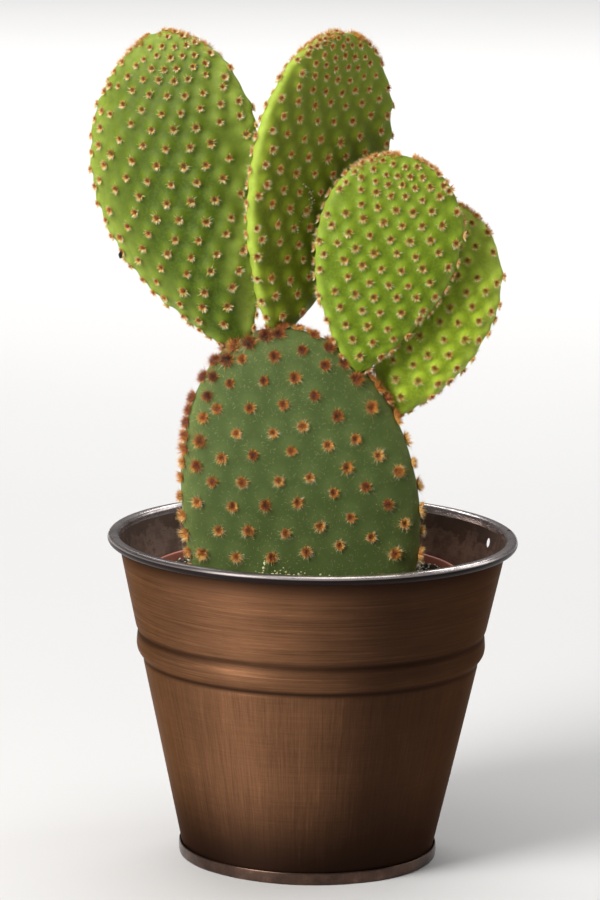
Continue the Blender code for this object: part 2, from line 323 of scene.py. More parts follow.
def mix(tree, share, first, second):
    """Two colours mixed. Sockets 6 and 7 are the node's two colours."""
    first, second = (
        (*colour, 1.0) if isinstance(colour, tuple) else colour for colour in (first, second)
    )
    return node(tree, "Mix", {0: share, 6: first, 7: second}, data_type="RGBA").outputs[2]


def cover(tree, colour, upper, mask, weight):
    """A colour with an upper colour over it by a mask, which hides weight of it where it is 1."""
    return mix(tree, times(tree, mask, weight), colour, upper)


def noise(tree, vector, scale, detail=4.0, rough=0.55):
    inputs = {"Vector": vector, "Scale": scale, "Detail": detail, "Roughness": rough}
    return node(tree, "TexNoise", inputs).outputs["Fac"]


def ramp(tree, value, stops):
    made = node(tree, "ValToRGB", {0: value})
    elements = made.color_ramp.elements
    while len(elements) < len(stops):
        elements.new(0.5)
    for element, (place, colour) in zip(elements, stops):
        element.position = place
        element.color = (*colour, 1.0)
    return made.outputs[0]


def attribute(tree, name):
    return node(tree, "Attribute", attribute_name=name).outputs["Fac"]


def millimetres(tree):
    """The row frame's coordinates in millimetres: every piece has its object at the origin."""
    coords = node(tree, "TexCoord").outputs["Object"]
    return node(tree, "VectorMath", {0: coords, "Scale": 1 / MM}, operation="SCALE").outputs[0]


def bump(tree, height, distance, strength):
    inputs = {"Height": height, "Distance": distance * MM, "Strength": strength}
    return node(tree, "Bump", inputs).outputs[0]


# ---- materials


def skin_material(name, colours, roughness, fleck, relief, tip_pale):
    """Cactus skin. colours are (valley, face, crest, margin)."""
    valley_shade_and_blotch, face, crest_highlight_and_grain, pale_and_lit_margin = colours
    material, tree, shader = new_material(name)
    mm = millimetres(tree)
    cloud = noise(tree, mm, 0.06, 3.0)
    grain = noise(tree, mm, 1.1, 5.0, 0.7)
    blotch = noise(tree, mm, 0.28, 4.0, 0.6)
    soft = plus(tree, attribute(tree, "areole"), times(tree, minus(tree, blotch, 0.5), 0.5))
    edge = plus(tree, attribute(tree, "pale_and_lit_margin"), times(tree, cloud, 0.25))
    # Painted shade darkens the valleys between the tubercles, and a painted highlight lightens their tops.
    colour = cover(tree, face, valley_shade_and_blotch, between(tree, soft, 0.55, -0.05), 0.8)
    colour = cover(tree, colour, crest_highlight_and_grain, between(tree, soft, 0.35, 1.15), 0.8)
    # The margin colour is partly paler skin and partly a painted highlight where the edges turn to the
    # side.
    colour = cover(tree, colour, pale_and_lit_margin, between(tree, edge, 0.15, 1.1, False), 0.85)
    colour = cover(tree, colour, pale_and_lit_margin, between(tree, attribute(tree, "along"), 0.45, 1.05), tip_pale)
    colour = cover(tree, colour, valley_shade_and_blotch, between(tree, blotch, 0.35, 0.68), 0.30)
    colour = cover(tree, colour, crest_highlight_and_grain, between(tree, grain, 0.42, 0.62), 0.22)
    specks = node(tree, "TexVoronoi", {"Vector": mm, "Scale": 0.9, "Randomness": 1.0})
    dots = between(tree, specks.outputs["Distance"], 0.13, 0.04)
    dots = times(tree, dots, between(tree, blotch, 0.4, 0.6))
    inputs = {
        "Base Color": cover(tree, colour, (0.62, 0.66, 0.45), dots, fleck),
        "Roughness": plus(tree, roughness, times(tree, grain, 0.12)),
        "Subsurface Weight": 0.15,
        "Subsurface Radius": (0.6, 1.0, 0.25),
        "Subsurface Scale": 2.0 * MM,
        "Specular IOR Level": 0.16,
        "Normal": bump(tree, plus(tree, grain, blotch), 0.12, relief),
    }
    fill(tree, shader, inputs)
    return material


def bristle_material():
    """Glochids: tone runs from near-black red over orange to cream."""
    material, tree, shader = new_material("glochid")
    stops = (
        (0.0, (0.075, 0.013, 0.006)),
        (0.15, (0.17, 0.032, 0.010)),
        (0.32, (0.36, 0.082, 0.014)),
        (0.5, (0.60, 0.20, 0.018)),
        (0.65, (0.76, 0.35, 0.038)),
        (0.8, (0.86, 0.60, 0.17)),
        (0.92, (0.95, 0.86, 0.56)),
        (1.0, (1.0, 0.97, 0.84)),
    )
    colour = ramp(tree, attribute(tree, "tone"), stops)
    fill(tree, shader, {"Base Color": colour, "Roughness": 0.55, "Sheen Weight": 0.2})
    return material


def metal_material(name, copper, dark, roughness, metallic, outside=False, dark_below=None):
    """Copper plating with a dark patina, brushed round the bucket above the rib and up and down below it.

    outside is for the wall's outer face, whose dark patina also carries painted shade under the rim and on
    the right front.
    dark_below is for the rolled rim: the height below which its outer side is painted dark, as the shaded
    underside of the bead.
    """
    material, tree, shader = new_material(name)
    mm = millimetres(tree)
    x, y, z = node(tree, "SeparateXYZ", {0: mm}).outputs
    radius = calc(tree, "SQRT", plus(tree, times(tree, x, x), times(tree, y, y)))
    cosine, sine = (calc(tree, "DIVIDE", part, radius) for part in (x, y))

    def streaks(around, along, detail, rough):
        """Noise on the unit circle and the height, with its own scale in each direction."""
        scaled = [times(tree, cosine, around), times(tree, sine, around), times(tree, z, along)]
        vector = node(tree, "CombineXYZ", dict(enumerate(scaled))).outputs[0]
        return noise(tree, vector, 1.0, detail, rough)

    round_fine = streaks(2.5, 3.6, 6.0, 0.85)
    round_coarse = streaks(1.5, 1.3, 3.0, 0.6)
    upright_fine = streaks(130.0, 0.08, 6.0, 0.85)
    upright_coarse = streaks(40.0, 0.03, 3.0, 0.6)
    around = weighted(tree, (round_fine, 0.65), (round_coarse, 0.35))
    upright = weighted(tree, (upright_fine, 0.5), (upright_coarse, 0.2), (round_fine, 0.3))
    above = between(tree, z, 62.0, 65.0)
    brush = node(tree, "Mix", {0: above, 2: upright, 3: around}, data_type="FLOAT").outputs[0]
    if outside:
        worn = weighted(tree, (brush, 0.85), (noise(tree, mm, 0.05, 4.0, 0.6), 0.15))
    else:
        worn = weighted(tree, (brush, 0.3), (noise(tree, mm, 0.16, 5.0, 0.6), 0.7))
    patina_and_shade = times(tree, between(tree, worn, 0.58, 0.38, False), 0.6)
    height = plus(tree, z, times(tree, minus(tree, worn, 0.5), 10.0 if outside else 45.0))
    specular = {}
    if outside:
        # Painted shade: the band just below the rolled rim is darkened as the rim's shadow. The wall is
        # also darker towards the foot, and in the grooves by the rib.
        bands = [(between(tree, height, 94.0, 101.5), 0.85), (between(tree, height, 38.0, 3.0), 1.0)]
        for centre, half, depth in ((72.9, 2.2, 0.75), (64.2, 1.6, 0.85)):
            away = calc(tree, "ABSOLUTE", minus(tree, z, centre))
            bands.append((between(tree, away, half, 0.0), depth))
        # Painted shade: the plating is darkened on its right front side.
        side = weighted(tree, (cosine, 1.0), (sine, -0.75))
        bands.append((between(tree, side, 0.7, 1.15), 0.72))
        for band, depth in bands:
            bare = minus(tree, 1.0, patina_and_shade)
            patina_and_shade = plus(tree, patina_and_shade, times(tree, bare, times(tree, band, depth)))
        specular["Specular Tint"] = (0.62, 0.46, 0.36, 1.0)
    elif dark_below:
        edge = RIM_OUTER_R - BEAD_R
        # Painted shade: the bead's outer side below dark_below is darkened and made less metallic, as its
        # shaded underside.
        shaded_underside = between(tree, z, dark_below + 0.5, dark_below - 0.4)
        shaded_underside = times(tree, shaded_underside, between(tree, radius, edge - 1.0, edge))
        patina_and_shade = calc(tree, "MAXIMUM", patina_and_shade, shaded_underside)
        # Painted shade: the rim's front left is darkened.
        shaded_front_left = between(tree, weighted(tree, (cosine, -0.6), (sine, -0.8)), 0.72, 0.97)
        patina_and_shade = calc(tree, "MAXIMUM", patina_and_shade, times(tree, shaded_front_left, 0.8))
        metallic = plus(tree, metallic, times(tree, shaded_underside, -0.8))
        specular["Specular IOR Level"] = 0.12
    else:
        smudged = times(tree, between(tree, height, 93.0, 99.0), 0.75)
        patina_and_shade = calc(tree, "MAXIMUM", patina_and_shade, smudged)
    patina_and_shade = calc(tree, "ADD", patina_and_shade, 0.0, clamp=True)
    bright = tuple(min(1.0, 2.1 * channel) for channel in copper)
    plating = cover(tree, copper, bright, between(tree, worn, 0.56, 0.72, False), 0.8)
    inputs = {
        "Base Color": mix(tree, patina_and_shade, plating, dark),
        "Roughness": plus(tree, roughness, times(tree, patina_and_shade, 0.14)),
        "Metallic": metallic,
        "Anisotropic": 0.6 if outside else 0.3,
        "Anisotropic Rotation": 0.25,
        "Normal": bump(tree, brush, 0.08, 0.35),
        **specular,
    }
    fill(tree, shader, inputs)
    return material


def plastic_material():
    material, tree, shader = new_material("terracotta_plastic")
    mm = millimetres(tree)
    grain = noise(tree, mm, 3.0, 3.0)
    clouds = between(tree, noise(tree, mm, 0.12, 3.0), 0.35, 0.7)
    colour = mix(tree, clouds, (0.50, 0.135, 0.075), (0.40, 0.10, 0.06))
    colour = cover(tree, colour, (0.55, 0.32, 0.22), between(tree, grain, 0.55, 0.75), 0.2)
    normal = bump(tree, grain, 0.05, 0.3)
    fill(tree, shader, {"Base Color": colour, "Roughness": 0.48, "Normal": normal})
    return material


def crumb_material(name, dark, light, scale=0.5):
    """Soil, bark or stone: two colours in patches, with a rough surface."""
    material, tree, shader = new_material(name)
    mm = millimetres(tree)
    patches = noise(tree, mm, scale, 5.0, 0.65)
    colour = mix(tree, between(tree, patches, 0.4, 0.62), dark, light)
    normal = bump(tree, plus(tree, patches, noise(tree, mm, 4.0, 3.0)), 0.3, 0.6)
    fill(tree, shader, {"Base Color": colour, "Roughness": 0.9, "Normal": normal})
    return material


def floor_material():
    material, tree, shader = new_material("pale_floor")
    cloud = noise(tree, millimetres(tree), 0.004, 2.0)
    colour = mix(tree, cloud, (0.66, 0.655, 0.65), (0.69, 0.685, 0.68))
    fill(tree, shader, {"Base Color": colour, "Roughness": 0.7})
    return material


# ---- pads


def section_outline(pad, t):
    """One section of a pad: a closed line of points, each one's share of the way round, and its length."""
    angle = np.linspace(0.0, math.tau, SECTION_SAMPLES + 1)
    c, s = np.cos(angle), np.sin(angle)
    low = pad.low_taper + np.where(c >= 0, pad.skew, -pad.skew)
    widest = low / (low + pad.top_taper)
    full = widest**low * (1 - widest) ** pad.top_taper
    half_width = pad.width / 2 * t**low * (1 - t) ** pad.top_taper / full
    half_thickness = pad.thickness / 2 * (4 * t * (1 - t)) ** PAD_END_POWER
    x = np.sign(c) * np.abs(c) ** (2 / PAD_SQUARE) * half_width
    y = np.sign(s) * np.abs(s) ** (2 / PAD_SQUARE) * half_thickness
    bend = smoothstep(0.0, 0.3, t) * smoothstep(1.0, 0.75, t)
    y = y - pad.cup * (1 - (x / half_width) ** 2) * bend
    line = np.stack([x + pad.sway * 4 * t * (1 - t), y, np.full_like(x, pad.length * t)], -1)
    steps = np.linalg.norm(np.diff(line, axis=0), axis=1)
    way = np.concatenate([[0.0], np.cumsum(steps)])
    return line, way / way[-1], way[-1]


def on_section(pad, t, shares):
    line, way, _ = section_outline(pad, t)
    shares = np.mod(shares, 1.0)
    return np.stack([np.interp(shares, way, line[:, k]) for k in range(3)], -1)


def pad_matrix(pad):
    turn = Matrix.Rotation(math.radians(pad.turn), 4, "Z")
    pitch = Matrix.Rotation(math.radians(-pad.pitch), 4, "X")
    lean = Matrix.Rotation(math.radians(pad.lean), 4, "Y")
    return np.array(Matrix.Translation(pad.foot) @ lean @ pitch @ turn)


def pad_rotation(pad):
    """Turns a pad's own directions, as rows, into the row frame's when it multiplies them."""
    return pad_matrix(pad)[:3, :3].T


def to_row(pad, points):
    return points @ pad_rotation(pad) + pad_matrix(pad)[:3, 3]


def margin_sites(pad, rng, low):
    """(t, share, spacing) of the areoles along both margins: a closer row than on the faces."""
    sites = []
    t, side = max(low, 0.02), 0
    while t < 0.998:
        near_tip = smoothstep(0.78, 1.0, t)
        step = pad.rows * 0.92 * (1 - pad.crowd * near_tip)
        spread = 0.005 + 0.02 * near_tip
        for edge in (0.0, 0.5):
            sites.append((t, edge + (spread if side % 2 else -spread), step))
            if pad.bump > 0.1:
                # A young pad's rows run on over its rounded margins.
                face = (0.034 if side % 2 else -0.034) * (1 if edge else -1) + rng.normal(0, 0.004)
                up = t + rng.uniform(0.3, 0.7) * step / pad.length
                sites.append((min(up, 0.97), edge + face, step))
        # The margin turns inwards near the tip, so a step along it is a smaller rise.
        reach = 2 * math.sqrt(max(t * (1 - t), 0.0004))
        t += step / pad.length * reach**1.2 + 0.0015
        side += 1
    return sites


def face_sites(pad, rng, low):
    """(t, share, spacing) of the areoles in staggered rows on both faces."""
    sites = []
    half = pad.width / 2
    for middle, mirror in ((FRONT, 1.0), (BACK, -1.0)):
        h, row = -0.3 * pad.length, 0
        while h < 1.3 * pad.length:
            scale = 1 - pad.crowd * smoothstep(0.66, 1.0, h / pad.length)
            across = pad.across * scale
            for i in range(-12, 13):
                a = (i + 0.5 * (row % 2)) * across + pad.slide * mirror
                a += rng.normal(0, 0.05) * across
                up = h + pad.slope * a * mirror + pad.smile * (a / half) ** 2 - 0.35 * pad.smile
                up += rng.normal(0, 0.06) * pad.rows
                t = up / pad.length
                if not low < t < 0.985:
                    continue
                share = a / section_outline(pad, t)[2]
                if abs(share) < 0.235:
                    sites.append((t, middle + share, pad.rows * scale))
            h += pad.rows * scale
            row += 1
    return sites


def surface_frame(pad, t, share):
    """A point of the smooth pad with its outward normal and the direction to the foot."""
    here, right = on_section(pad, t, np.array([share, share + 0.004]))
    up = on_section(pad, min(t + 0.004, 0.9995), np.array([share]))[0]
    normal = unit(np.cross(right - here, up - here))
    down = here - up
    return here, normal, unit(down - normal * (down @ normal))


def row_frame(pad, t, share):
    """The same in the row frame, with the direction to the right as well."""
    here, normal, down = surface_frame(pad, t, share)
    rotation = pad_rotation(pad)
    normal, down = normal @ rotation, down @ rotation
    return to_row(pad, here), normal, down, np.cross(down, normal)


@dataclass
class Areoles:
    """Places, outward normals, directions to the foot, spacings, and where on the pad each one is."""

    place: np.ndarray
    normal: np.ndarray
    down: np.ndarray
    spacing: np.ndarray
    t: np.ndarray
    share: np.ndarray

    def site(self, k):
        """Where one of them is, with the directions outward, down and to the right."""
        return self.place[k], self.normal[k], self.down[k], np.cross(self.down[k], self.normal[k])


def areoles_of(pad, rng, extra=(), low=0.03):
    kept = []
    for t, share, spacing in [*extra, *margin_sites(pad, rng, low), *face_sites(pad, rng, low)]:
        here, normal, down = surface_frame(pad, t, share)
        if all(np.linalg.norm(here - other[0]) > 0.66 * min(spacing, other[3]) for other in kept):
            kept.append((here, normal, down, spacing, t, share % 1.0))
    return Areoles(*(np.array([entry[k] for entry in kept]) for k in range(6)))


def relief(pad, areoles, points, normals):
    """The points moved out over the tubercles, and how near each is to an areole, from 0 to 1."""
    height = np.zeros(len(points))
    nearest = np.zeros(len(points))
    for place, down, spacing in zip(areoles.place, areoles.down, areoles.spacing):
        away = points - place
        along = away @ down
        across = (away**2).sum(-1) - along**2
        along = (along + 0.16 * spacing) / np.where(along + 0.16 * spacing > 0, 0.26, 0.31)
        bell = np.exp(-(along**2 + across / 0.27**2) / (2 * spacing**2))
        height += pad.bump * spacing * bell
        nearest = np.maximum(nearest, bell)
    limit = 1.15 * pad.bump * areoles.spacing.max()
    height = limit * np.tanh(height / limit)
    wave = 0.12 * np.sin(points[:, 0] * 0.31 + 1.0) * np.sin(points[:, 2] * 0.23 + 2.0)
    return points + normals * (height + wave)[:, None], nearest


def raised_to_row(pad, areoles):
    """The areoles in the row frame, on the tops of their tubercles."""
    raised, _ = relief(pad, areoles, areoles.place, areoles.normal)
    rotation = pad_rotation(pad)
    return replace(
        areoles, place=to_row(pad, raised), normal=areoles.normal @ rotation, down=areoles.down @ rotation
    )


def pad_skin(name, pad, areoles, material):
    """The pad's skin as rings of points from foot to tip, raised over its tubercles."""
    steps = (1 - np.cos(np.pi * (np.arange(1, PAD_RINGS) / PAD_RINGS))) / 2
    shares = np.arange(PAD_AROUND) / PAD_AROUND
    grid = np.array([on_section(pad, t, shares) for t in steps])
    foot = np.array([0.0, 0.0, 0.0])
    tip = np.array([0.0, 0.0, pad.length])
    round_way = np.roll(grid, -1, axis=1) - np.roll(grid, 1, axis=1)
    padded = np.concatenate([np.tile(foot, (1, PAD_AROUND, 1)), grid, np.tile(tip, (1, PAD_AROUND, 1))])
    up_way = padded[2:] - padded[:-2]
    normals = unit(np.cross(round_way, up_way)).reshape(-1, 3)
    points, nearest = relief(pad, areoles, grid.reshape(-1, 3), normals)
    count = len(points)
    points = np.vstack([points, foot, tip])
    nearest = np.append(nearest, [0.0, 1.0])
    t = points[:, 2] / pad.length
    x = grid[..., 0]
    right, left = x.max(1, keepdims=True), x.min(1, keepdims=True)
    outward = np.abs(x - (right + left) / 2) / ((right - left) / 2)
    outward = np.append(outward.ravel(), [0.0, 0.0])
    # The margin mask: where the skin turns to the side, and a band by the edges and tip, take the margin
    # colour, partly paler skin and partly a painted highlight on the rounded edge.
    facing = np.abs(np.append(normals[:, 0], [0.0, 0.0]))
    rim = pad.pale * np.maximum(smoothstep(0.72, 1.0, outward), smoothstep(0.86, 1.0, t))
    pale_and_lit_margin = np.maximum(smoothstep(0.1, 1.1, facing), rim)
    faces = grid_faces(PAD_RINGS - 1, PAD_AROUND).tolist()
    last = count - PAD_AROUND
    for j in range(PAD_AROUND):
        k = (j + 1) % PAD_AROUND
        faces += [(count, k, j), (last + j, last + k, count + 1)]
    values = {"areole": nearest, "pale_and_lit_margin": pale_and_lit_margin, "along": t}
    return add_mesh(name + "_skin", to_row(pad, points), faces, [material], values=values)


# ---- bristles


class Bristles:
    """Collects tapered bristles, each a closed spike on three sides, and makes one piece of them."""

    def __init__(self, rng):
        self.rng = rng
        self.roots, self.tips, self.radii, self.tones = [], [], [], []

    def add(self, roots, directions, lengths, radii, tones):
        self.roots.append(roots)
        self.tips.append(roots + unit(directions) * np.asarray(lengths)[:, None])
        self.radii.append(np.broadcast_to(radii, len(roots)))
        self.tones.append(np.broadcast_to(tones, len(roots)))

    def grow(self, roots, directions, size, length, radius, tone):
        lengths = self.rng.uniform(length[0] * size, length[1] * size, len(roots))
        self.add(roots, directions, lengths, radius, self.rng.uniform(*tone, len(roots)))

    def ring(self, site, size, count, ring, rise, flare, length, radius, tone):
        """Bristles that grow from a flat ring round an areole and lean outwards by flare.

        ring is its inner and outer radius and length the least and the greatest, in shares of size.
        """
        place, normal, down, right = site
        inner, outer = ring[0] * size, ring[1] * size
        out = np.sqrt(self.rng.uniform(inner * inner, outer * outer, count))
        angle = self.rng.uniform(0, math.tau, count)
        offset = (out * np.cos(angle))[:, None] * right + (out * np.sin(angle))[:, None] * down
        jitter = self.rng.normal(0, 0.22, (count, 3))
        directions = normal * rise + unit(offset) * flare + jitter
        self.grow(place + offset, directions, size, length, radius, tone)

    def below(self, site, size, count, start, spread, rise, length, radius, tone):
        """Longer pale bristles that leave the lower rim of an areole and point down the pad."""
        place, normal, down, right = site
        angle = self.rng.normal(0, spread, count)
        outward = np.cos(angle)[:, None] * down + np.sin(angle)[:, None] * right
        roots = place + outward * (start * size) * self.rng.uniform(0.6, 1.0, (count, 1))
        directions = outward + normal * rise + self.rng.normal(0, 0.12, (count, 3))
        self.grow(roots, directions, size, length, radius, tone)

    def piece(self, name, material):
        roots, tips = np.vstack(self.roots), np.vstack(self.tips)
        radii, tones = np.concatenate(self.radii), np.concatenate(self.tones)
        along = unit(tips - roots)
        helper = np.where(np.abs(along[:, 2:3]) < 0.9, [[0.0, 0.0, 1.0]], [[1.0, 0.0, 0.0]])
        first = unit(np.cross(helper, along))
        second = np.cross(along, first)
        corners = []
        for k in range(3):
            angle = math.tau * k / 3
            offset = math.cos(angle) * first + math.sin(angle) * second
            corners.append(roots + offset * radii[:, None])
        points = np.stack([*corners, tips], 1).reshape(-1, 3)
        base = 4 * np.arange(len(roots))[:, None, None]
        pattern = np.array([[0, 1, 3], [1, 2, 3], [2, 0, 3], [0, 2, 1]])
        faces = (base + pattern).reshape(-1, 3).tolist()
        paler = np.array([0.0, 0.0, 0.0, 0.20])
        values = {"tone": np.clip(tones[:, None] - 0.04 + paler, 0.0, 1.0).ravel()}
        return add_mesh(name, points, faces, [material], values=values, smooth=False)


def young_tuft(bristles, site, size):
    """A young pad's areole: a dark core, an orange-tan ring and cream bristles that point down."""
    place, normal, down, right = site
    core = (place - down * 0.2 * size, normal, down, right)
    bristles.ring(core, size, 30, (0.0, 0.45), 1.0, 0.25, (0.7, 1.1), 0.12, (0.14, 0.38))
    bristles.ring(site, size, 44, (0.45, 1.0), 0.95, 0.55, (0.6, 1.15), 0.10, (0.42, 0.76))
    bristles.below(site, size, 20, 0.9, 0.6, 0.75, (0.7, 1.6), 0.075, (0.74, 0.96))
    bristles.ring(site, size, 9, (0.7, 1.05), 0.6, 1.0, (0.9, 1.7), 0.055, (0.72, 1.0))


def old_tuft(bristles, site, size, darkness, reach):
    """An old pad's areole: a spiky cushion of bristles, orange to dark red, often with a crater."""
    crater = bristles.rng.uniform() < 0.75 - 0.7 * darkness
    middle = (0.24 - 0.20 * darkness, 0.52 - 0.22 * darkness)
    outer = (0.38 - 0.28 * darkness, 0.82 - 0.34 * darkness)
    fringe = (outer[0] + 0.1, outer[1] + 0.16)
    inner_length = (0.4, 0.8) if crater else (1.0 * reach, 1.7 * reach)
    bristles.ring(site, size, 70, (0.0, 0.6), 1.0, 0.3, inner_length, 0.11, middle)
    bristles.ring(site, size, 130, (0.5, 1.15), 0.95, 0.6, (0.7 * reach, 1.6 * reach), 0.11, outer)
    bristles.ring(site, size, 40, (0.8, 1.25), 0.6, 1.0, (0.8 * reach, 2.0 * reach), 0.06, fringe)
    bristles.below(site, size, 8, 1.1, 0.9, 0.4, (1.2, 2.4), 0.045, (0.75, 1.0))


def crown(bristles, pad):
    """The crowded orange tufts between a young pad's highest edge and its tip: its newest areoles."""
    rng = bristles.rng
    upward = unit(pad_rotation(pad)[2] + np.array([0.0, 0.0, 1.0]))
    sites = []
    for _ in range(900):
        t = 1 - 0.24 * rng.uniform(0, 1) ** 1.5
        share = rng.choice((0.0, 0.5)) + rng.normal(0, 0.022 + 0.35 * max(0.06 - (1 - t), 0.0))
        sites.append(row_frame(pad, min(t, 0.995), share))
    highest = max(site[0] @ upward for site in sites)
    kept = []
    for site in sites:
        place = site[0]
        if place @ upward < highest - rng.exponential(0.048 * pad.width):
            continue
        if any(np.linalg.norm(place - other) < 1.25 for other in kept):
            continue
        kept.append(place)
        size = rng.uniform(0.6, 0.9)
        bristles.ring(site, size, 32, (0.0, 0.8), 1.0, 0.4, (1.3, 3.0), 0.09, (0.34, 0.68))
        bristles.ring(site, size, 9, (0.4, 0.9), 0.8, 0.8, (1.2, 2.6), 0.05, (0.7, 1.0))


def young_pad(name, pad, skin, glochid, seed):
    rng = np.random.default_rng(seed)
    areoles = areoles_of(pad, rng)
    ride_root(pad_skin(name, pad, areoles, skin), "young_pad_skin", name)
    bristles = Bristles(rng)
    raised = raised_to_row(pad, areoles)
    for k in range(len(raised.t)):
        site = raised.site(k)
        size = 1.03 * (0.5 + 0.5 * areoles.spacing[k] / pad.rows) * rng.uniform(0.85, 1.15)
        young_tuft(bristles, site, size)
        if abs(math.cos(math.tau * areoles.share[k])) > 0.93:
            bristles.ring(site, 1.0, 16, (0.3, 1.0), 0.9, 0.7, (1.1, 2.0), 0.05, (0.7, 1.0))
    crown(bristles, pad)
    ride_root(bristles.piece(name + "_glochids", glochid), "areole_wool")


# The old pad's closer rows of areoles along its upper margin: where each starts and ends along the
# pad, its share of the way round, the gap between two areoles and the room each one takes
MARGIN_ROWS = (
    (0.63, 0.93, 0.51, 4.4, 5.9), (0.66, 0.93, 0.55, 8.0, 5.5), (0.37, 0.61, 0.508, 5.8, 6.5),
    (0.79, 0.93, 0.99, 4.5, 5.9), (0.83, 0.93, 0.95, 8.0, 5.5),
)


def upper_margin_sites(length):
    sites = []
    for t, end, share, gap, room in MARGIN_ROWS:
        count = 0
        while t < end:
            sites.append((t, share + 0.006 * math.sin(7.1 * count), room))
            t += gap / length * (2 * math.sqrt(t * (1 - t))) ** 1.2 + 0.002
            count += 1
    return sites


# Clumps of bristles under the young pads' feet: where on the front in x and z, size and darkness
CLUMPS = (
    (-26.0, 164.0, 1.5, 0.3), (-21.3, 165.4, 1.4, 0.9), (-16.0, 168.6, 1.5, 1.0), (-12.0, 170.6, 1.3, 1.0),
    (-28.2, 160.0, 1.5, 1.0), (-5.6, 170.6, 1.1, 0.25), (0.8, 168.8, 1.2, 0.35), (6.2, 165.4, 1.1, 0.9),
    (12.0, 162.0, 1.2, 0.5), (25.0, 148.0, 1.2, 1.0), (27.5, 142.5, 1.2, 0.8),
)


def on_front(pad, x, z):
    """(t, share) of the point on a pad's front that shows at x and z of the row frame."""
    matrix = pad_matrix(pad)
    local = np.linalg.solve(matrix[:3, :3], np.array([x, pad.foot[1], z]) - matrix[:3, 3])
    t = float(np.clip(local[2] / pad.length, 0.02, 0.985))
    line, way, _ = section_outline(pad, t)
    front = way > 0.5
    return t, float(np.interp(x, to_row(pad, line[front])[:, 0], way[front]))


def fine_hairs(name, pad, glochid, seed, count):
    """Short pale hairs that lie about on an old pad's skin."""
    rng = np.random.default_rng(seed)
    low = (SOIL_EDGE_Z - pad.foot[2]) / pad.length
    bristles = Bristles(rng)
    rotation = pad_rotation(pad)
    for _ in range(count):
        here, normal, down = surface_frame(pad, rng.uniform(low, 0.97), rng.uniform(0, 1))
        right = np.cross(down, normal)
        turn = rng.uniform(0, math.tau)
        lying = math.cos(turn) * right + math.sin(turn) * down + normal * rng.uniform(0.05, 0.5)
        root = to_row(pad, here + normal * 0.1)[None]
        length = rng.uniform(0.25, 0.8)
        bristles.add(root, (lying @ rotation)[None], [length], 0.02, rng.uniform(0.72, 0.95))
    ride_root(bristles.piece(name + "_hairs", glochid), "areole_wool")


def old_pad(name, pad, skin, glochid, seed):
    rng = np.random.default_rng(seed)
    soil_share = (SOIL_EDGE_Z + SOIL_MOUND - pad.foot[2]) / pad.length
    areoles = areoles_of(pad, rng, upper_margin_sites(pad.length), low=soil_share + 0.01)
    ride_root(pad_skin(name, pad, areoles, skin), "old_pad_skin", name)
    bristles = Bristles(rng)
    raised = raised_to_row(pad, areoles)
    for k, t in enumerate(areoles.t):
        size = rng.uniform(0.92, 1.22)
        across = math.cos(math.tau * areoles.share[k])
        darkness, reach = 0.22 + 0.12 * across + 1.5 * max(t - 0.66, 0.0), 1.0
        if abs(across) > 0.88:
            darkness, reach = 4.5 * (t - 0.62), 1.5
        darkness = float(np.clip(rng.normal(darkness, 0.28), 0.0, 1.0))
        old_tuft(bristles, raised.site(k), size, darkness, reach)
    for x, z, size, darkness in CLUMPS:
        old_tuft(bristles, row_frame(pad, *on_front(pad, x, z)), size, darkness, 1.3)
    ride_root(bristles.piece(name + "_glochids", glochid), "areole_wool")


def scars(pad, seed, material):
    """Thin corky flakes along an old graze on the middle pad."""
    areoles = areoles_of(pad, np.random.default_rng(seed))
    rng = np.random.default_rng(21)
    way = rng.uniform(0, 1, 46)
    x = -5.2 + 3.0 * np.sin(way * 4.2) + rng.normal(0, 0.6, len(way))
    z = 216.0 - 15.0 * way + rng.normal(0, 0.7, len(way))
    sites = [surface_frame(pad, *on_front(pad, a, b)) for a, b in zip(x, z)]
    points, normals = (np.array([site[k] for site in sites]) for k in range(2))
    places, _ = relief(pad, areoles, points, normals)
    places = to_row(pad, places + normals * 0.12)
    crumbs("graze_flakes", rng, places, rng.uniform(0.4, 1.2, len(way)), material, "young_pad_skin", 0.35)


def scraps(pad, material):
    """Bits of dry peel caught on the left pad's lower edge."""
    rng = np.random.default_rng(22)
    steps = np.linspace(0.03, 0.6, 115)
    edge = to_row(pad, np.array([on_section(pad, t, np.array([0.5]))[0] for t in steps]))
    places, sizes = [], []
    for z, out, size in ((192.4, 1.5, 3.3), (189.0, 0.8, 1.9), (184.0, 0.3, 1.4)):
        place, normal, *_ = row_frame(pad, steps[np.argmin(np.abs(edge[:, 2] - z))], 0.5)
        places.append(place + normal * out)
        sizes.append(size)
    crumbs("dry_scraps", rng, places, sizes, material, "areole_wool", 0.4)


# ---- bucket and pot


def circle(radius, centre_x):
    """x and y of the points round a turned piece."""
    angle = np.arange(TURNED_STEPS) * math.tau / TURNED_STEPS
    return centre_x + radius * np.cos(angle), radius * np.sin(angle)


def turned_piece(name, profile, materials, slots, centre_x=0.0, warp=None, closed=True):
    """A body of revolution. profile runs up the outer side, as (radius, height) points."""
    angle = np.arange(TURNED_STEPS) * math.tau / TURNED_STEPS
    rows = []
    for r, z in np.array(profile, float):
        x, y = circle(r + warp(angle, z, r) if warp else r, centre_x)
        rows.append(np.stack([x, y, np.full_like(x, z)], -1))
    points = np.array(rows).reshape(-1, 3)
    bands = len(profile) if closed else len(profile) - 1
    faces = grid_faces(bands + 1, TURNED_STEPS) % len(points)
    return add_mesh(name, points, faces, materials, np.repeat(slots[:bands], TURNED_STEPS))


def arc(centre, radius, start, end, count):
    angles = np.radians(np.linspace(start, end, count))
    return [(centre[0] + radius * math.cos(a), centre[1] + radius * math.sin(a)) for a in angles]


